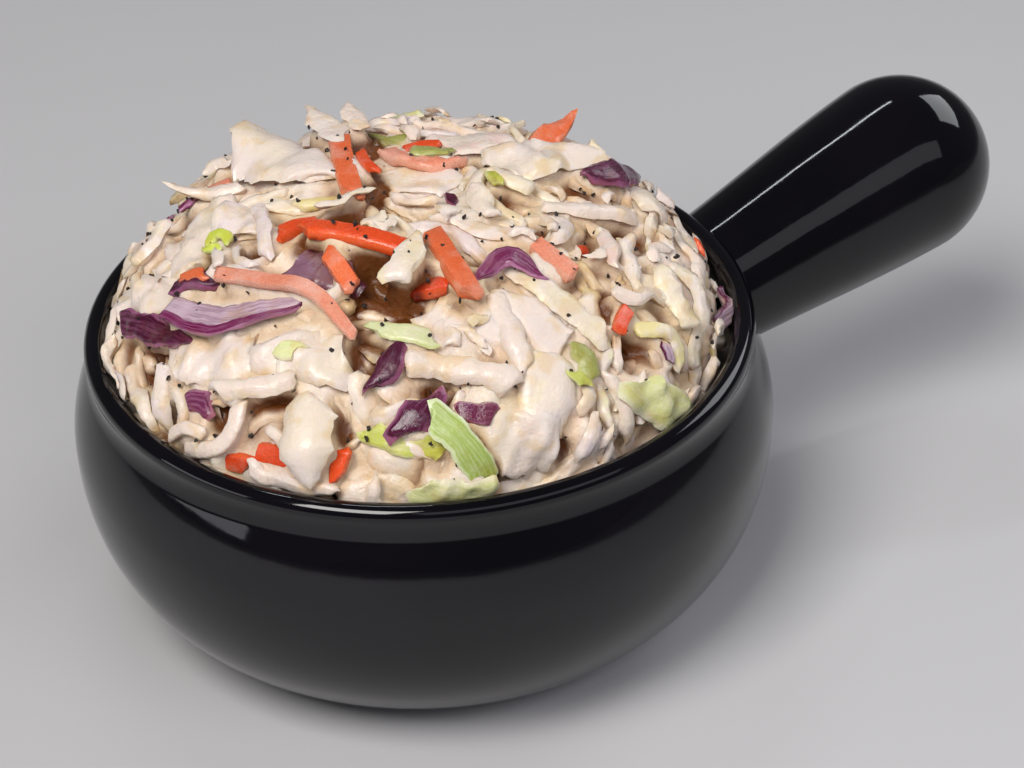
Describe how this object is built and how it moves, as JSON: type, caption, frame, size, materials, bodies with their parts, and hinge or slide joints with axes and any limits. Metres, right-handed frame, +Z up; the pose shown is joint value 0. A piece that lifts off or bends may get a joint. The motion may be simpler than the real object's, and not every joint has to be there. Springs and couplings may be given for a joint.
{
  "type": "coleslaw in a handled stoneware crock",
  "caption": "Heap of creamy shredded-cabbage salad with carrot and red cabbage in a round black glazed crock with one stick handle.",
  "frame": {"origin": "centre of the crock's flat base, on the crock's axis", "axes": "+Z up, +X along the handle"},
  "size_m": [0.1859, 0.127, 0.0821],
  "materials": {
    "glaze": "black gloss glaze on stoneware",
    "coleslaw": "moist shredded vegetables in cream dressing"
  },
  "bodies": {
    "root": {"crock": "glaze", "coleslaw": "coleslaw"}
  },
  "joints": []
}
